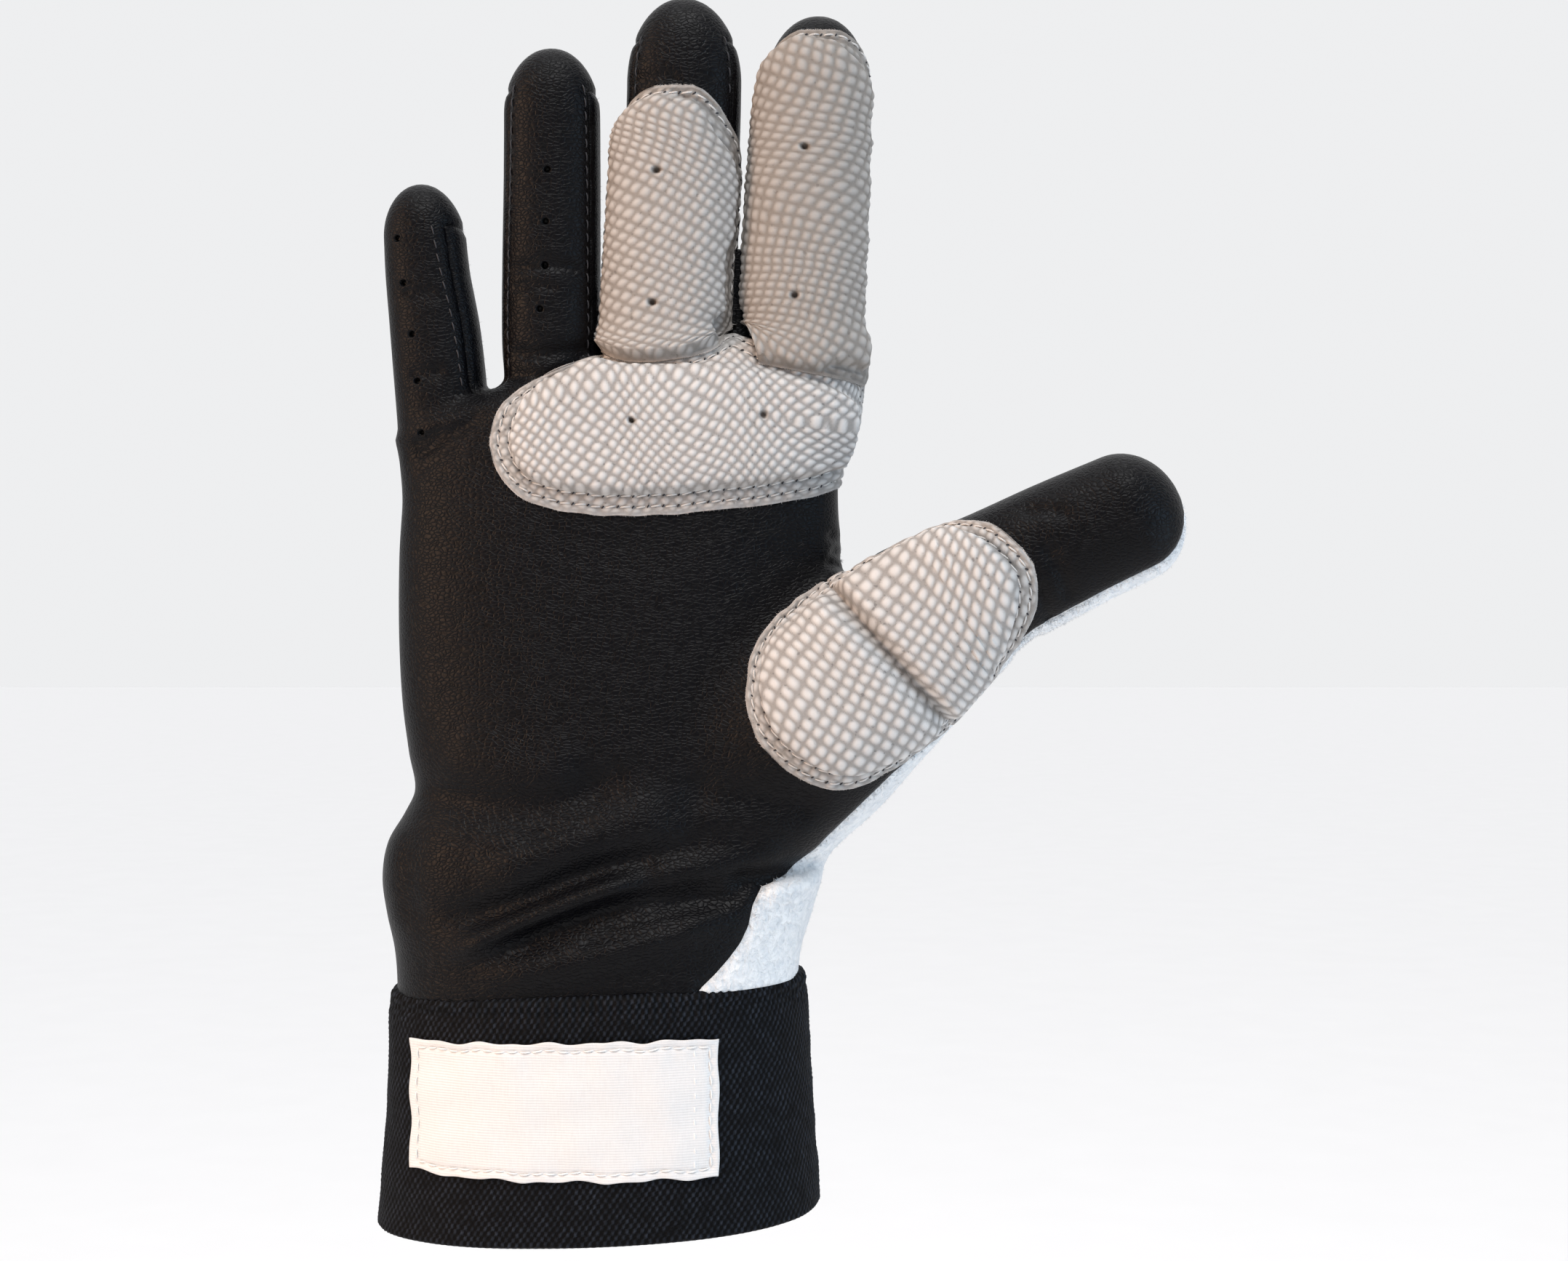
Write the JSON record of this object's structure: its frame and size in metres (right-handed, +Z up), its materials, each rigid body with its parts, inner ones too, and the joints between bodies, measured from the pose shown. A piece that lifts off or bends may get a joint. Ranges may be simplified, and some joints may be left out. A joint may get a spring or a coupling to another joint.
{
  "type": "batting inner glove",
  "caption": "Padded right-hand inner glove with a leather palm, knit back, foam finger, knuckle and thumb pads, and an elastic wrist cuff.",
  "frame": {"origin": "centre of the wrist opening, at the cuff's lower rim", "axes": "+Z up towards the fingertips, -Y the palm side, +X towards the thumb"},
  "size_m": [0.1624, 0.0599, 0.2478],
  "materials": {
    "black_leather": "fine-grained soft leather, low sheen",
    "white_knit": "brushed stretch knit with a short nap",
    "grey_pad_leather": "embossed with small raised lozenges",
    "black_elastic": "fine knitted elastic, matt",
    "white_satin": "woven satin ribbon, blank"
  },
  "bodies": {
    "root": {"palm_panel": "black_leather", "back_panel": "white_knit", "side_strip_ring_pinky": "black_leather", "side_strip_middle_ring": "black_leather", "side_strip_index_middle": "black_leather", "thumb_panel": "black_leather", "thumb_back": "white_knit", "cuff": "black_elastic", "label": "white_satin", "middle_finger_pad": "grey_pad_leather", "index_finger_pad": "grey_pad_leather", "knuckle_pad": "grey_pad_leather", "thumb_pad": "grey_pad_leather"}
  },
  "joints": []
}
